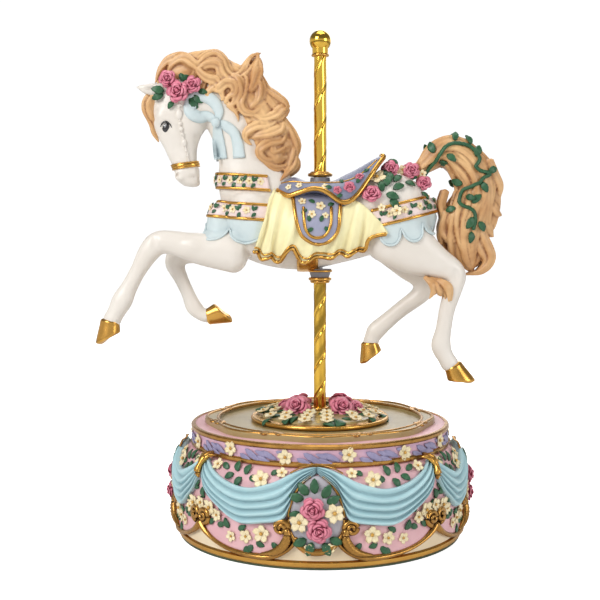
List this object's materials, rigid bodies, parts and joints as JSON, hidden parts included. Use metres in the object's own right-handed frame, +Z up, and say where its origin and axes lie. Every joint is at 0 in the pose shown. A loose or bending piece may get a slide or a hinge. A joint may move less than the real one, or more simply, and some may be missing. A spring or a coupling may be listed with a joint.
{
  "type": "wind-up music box",
  "caption": "Wind-up music box: a prancing carousel horse on a brass pole over a round draped plinth, with a winding key and a pinned-cylinder movement inside.",
  "frame": {"origin": "centre of the plinth's foot on the surface it rests on, on the pole's axis", "axes": "+Z up along the pole, -X towards the horse's head, -Y towards the viewer's side"},
  "size_m": [0.2397, 0.1738, 0.2988],
  "materials": {
    "felt": "dark green pressed felt",
    "gilt": "antique gold paint on cast resin, dark in the hollows",
    "cream_glaze": "satin cream paint on cast resin",
    "pink_glaze": "satin pink paint on cast resin",
    "blue_glaze": "satin pale blue paint on cast resin",
    "lilac_glaze": "satin lilac paint on cast resin",
    "satin_gold": "satin gold paint",
    "nylon": "moulded nylon",
    "fibreboard": "pressed fibreboard",
    "steel": "turned steel",
    "spring_steel": "blued spring steel",
    "zinc": "die-cast metal, grey",
    "brass": "polished brass",
    "dark_collar": "grey paint on cast resin with a gilt edge",
    "leaf_glaze": "dark green paint on cast resin",
    "rose_glaze": "rose pink paint on cast resin",
    "ivory_glaze": "satin ivory paint on cast resin",
    "hair_glaze": "tan paint with a brown wash in the grooves",
    "saddle_glaze": "satin blue-grey paint on cast resin",
    "skirt_glaze": "satin pale yellow paint on cast resin",
    "strap_glaze": "satin pink-white paint on cast resin"
  },
  "bodies": {
    "base": {"felt_ring": "felt", "foot_ring": "gilt", "cream_skirt": "cream_glaze", "plinth_shell": "pink_glaze", "scroll_lobes": "gilt", "drape_swags": "blue_glaze", "medallions": "lilac_glaze", "swag_clips": "gilt", "frieze_mouldings": "gilt", "frieze_band": "lilac_glaze", "deck_plate": "pink_glaze", "deck_border": "gilt", "deck_field": "satin_gold", "thrust_washer": "nylon", "bottom_board": "fibreboard", "board_screws": "steel", "shaft_bushes": "brass", "bedplate": "zinc", "movement_screws": "steel", "spring_barrel": "steel", "mainspring": "spring_steel", "cylinder_brackets": "brass", "train_brackets": "brass", "comb_base": "zinc", "comb": "spring_steel"},
    "carousel": {"turntable_disc": "satin_gold", "turntable_shaft": "steel", "turntable_gear": "brass", "flower_mound": "leaf_glaze", "mound_roses": "rose_glaze", "core_rod": "steel", "lower_pole": "brass", "upper_pole": "brass", "belly_collar": "dark_collar", "saddle_collar": "dark_collar", "finial": "brass", "horse_body": "ivory_glaze", "near_foreleg": "ivory_glaze", "far_foreleg": "ivory_glaze", "near_hindleg": "ivory_glaze", "far_hindleg": "ivory_glaze", "hooves": "gilt", "mane": "hair_glaze", "tail": "hair_glaze", "saddle": "saddle_glaze", "saddle_skirt": "skirt_glaze", "harness_straps": "strap_glaze", "horse_roses": "rose_glaze"},
    "winding": {"winding_key": "brass", "winding_arbor": "steel", "great_wheel": "brass"},
    "cylinder": {"music_cylinder": "brass", "cylinder_pins": "steel", "cylinder_arbor": "steel", "cylinder_pinion": "steel", "cylinder_wheel": "brass"},
    "second_wheel": {"second_arbor": "steel", "worm_wheel": "brass"},
    "governor": {"governor_worm": "steel", "governor_fan": "nylon"}
  },
  "joints": [
    {"name": "carousel_turn", "type": "hinge", "parent": "base", "child": "carousel", "pos_m": [0, 0, 0.0655], "axis": [0, 0, 1], "continuous": true},
    {"name": "key_turn", "type": "hinge", "parent": "base", "child": "winding", "pos_m": [-0.01408, 0.02649, 0.0235], "axis": [0, 0, 1], "continuous": true},
    {"name": "cylinder_turn", "type": "hinge", "parent": "base", "child": "cylinder", "pos_m": [0.02792, 0.02649, 0.0458], "axis": [1, 0, 0], "continuous": true},
    {"name": "second_wheel_turn", "type": "hinge", "parent": "base", "child": "second_wheel", "pos_m": [0.02792, 0.01049, 0.0458], "axis": [1, 0, 0], "continuous": true},
    {"name": "governor_turn", "type": "hinge", "parent": "base", "child": "governor", "pos_m": [0.02192, 0.00209, 0.0458], "axis": [0, 0, 1], "continuous": true}
  ],
  "couplings": [
    {"joint": "key_turn", "follows": "carousel_turn", "ratio": -1},
    {"joint": "cylinder_turn", "follows": "carousel_turn", "ratio": -2},
    {"joint": "second_wheel_turn", "follows": "carousel_turn", "ratio": 6},
    {"joint": "governor_turn", "follows": "carousel_turn", "ratio": 120}
  ]
}
